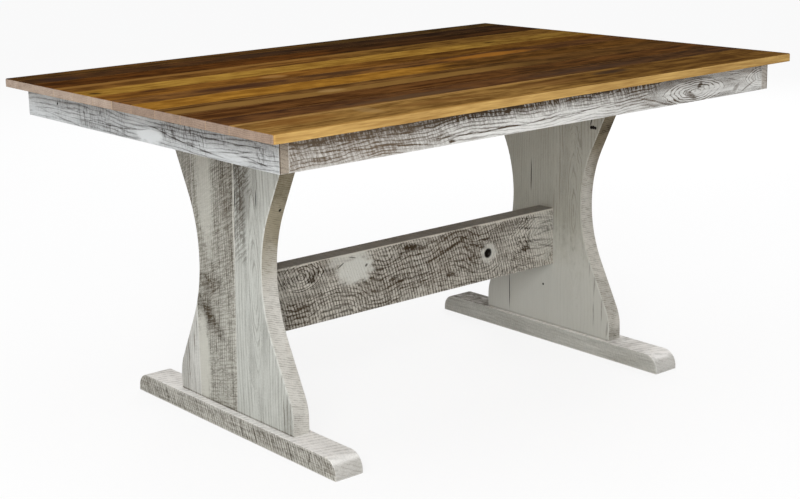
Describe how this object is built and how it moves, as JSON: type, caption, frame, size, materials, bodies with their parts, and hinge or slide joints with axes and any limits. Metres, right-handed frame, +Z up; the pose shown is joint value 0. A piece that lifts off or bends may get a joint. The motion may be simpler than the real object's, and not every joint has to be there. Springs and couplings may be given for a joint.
{
  "type": "trestle dining table",
  "caption": "Rectangular dining table: a planked top with a deep apron on waisted panel trestles with runner feet, joined by a plank stretcher.",
  "frame": {"origin": "on the floor, under the middle of the top", "axes": "+X along the table, +Y across it towards the back, +Z up"},
  "size_m": [1.524, 1.067, 0.775],
  "materials": {
    "top_plank_01": "stained and varnished, satin",
    "top_plank_02": "stained and varnished, satin",
    "top_plank_03": "stained and varnished, satin",
    "top_plank_04": "stained and varnished, satin",
    "top_plank_05": "stained and varnished, satin",
    "top_plank_06": "stained and varnished, satin",
    "top_plank_07": "stained and varnished, satin",
    "top_plank_08": "stained and varnished, satin",
    "top_plank_09": "stained and varnished, satin",
    "top_plank_10": "stained and varnished, satin",
    "top_plank_11": "stained and varnished, satin",
    "top_plank_12": "stained and varnished, satin",
    "washed_apron": "rough-sawn, grey-white wash over brown stain",
    "washed_panel": "rough-sawn, grey-white wash over brown stain",
    "washed_foot": "rough-sawn, grey-white wash over brown stain, rubbed arrises",
    "washed_stretcher": "rough-sawn, grey-white wash over brown stain",
    "bare_softwood": "planed, unfinished",
    "beech_dowel": "turned, unfinished",
    "zinc_steel": "zinc plated"
  },
  "bodies": {
    "root": {"top_plank_01": "top_plank_01", "top_plank_02": "top_plank_02", "top_plank_03": "top_plank_03", "top_plank_04": "top_plank_04", "top_plank_05": "top_plank_05", "top_plank_06": "top_plank_06", "top_plank_07": "top_plank_07", "top_plank_08": "top_plank_08", "top_plank_09": "top_plank_09", "top_plank_10": "top_plank_10", "top_plank_11": "top_plank_11", "top_plank_12": "top_plank_12", "left_apron": "washed_apron", "right_apron": "washed_apron", "front_apron": "washed_apron", "back_apron": "washed_apron", "left_foot": "washed_foot", "left_head_cleat": "bare_softwood", "left_panel_wide_board": "washed_panel", "left_panel_middle_board": "washed_panel", "left_panel_upper_wing": "washed_panel", "left_panel_lower_wing": "washed_panel", "right_foot": "washed_foot", "right_head_cleat": "bare_softwood", "right_panel_wide_board": "washed_panel", "right_panel_middle_board": "washed_panel", "right_panel_upper_wing": "washed_panel", "right_panel_lower_wing": "washed_panel", "stretcher": "washed_stretcher", "corner_block_front_left": "bare_softwood", "corner_block_front_right": "bare_softwood", "corner_block_back_left": "bare_softwood", "corner_block_back_right": "bare_softwood", "front_batten": "bare_softwood", "back_batten": "bare_softwood", "left_batten": "bare_softwood", "right_batten": "bare_softwood", "plank_dowels": "beech_dowel", "panel_dowels": "beech_dowel", "apron_dowels": "beech_dowel", "foot_loose_tenons": "beech_dowel", "head_loose_tenons": "beech_dowel", "foot_lag_screws": "zinc_steel", "foot_lag_washers": "zinc_steel", "head_lag_screws": "zinc_steel", "head_lag_washers": "zinc_steel", "head_cleat_screws": "zinc_steel", "batten_top_screws": "zinc_steel", "batten_apron_screws": "zinc_steel", "corner_block_screws": "zinc_steel"}
  },
  "joints": []
}
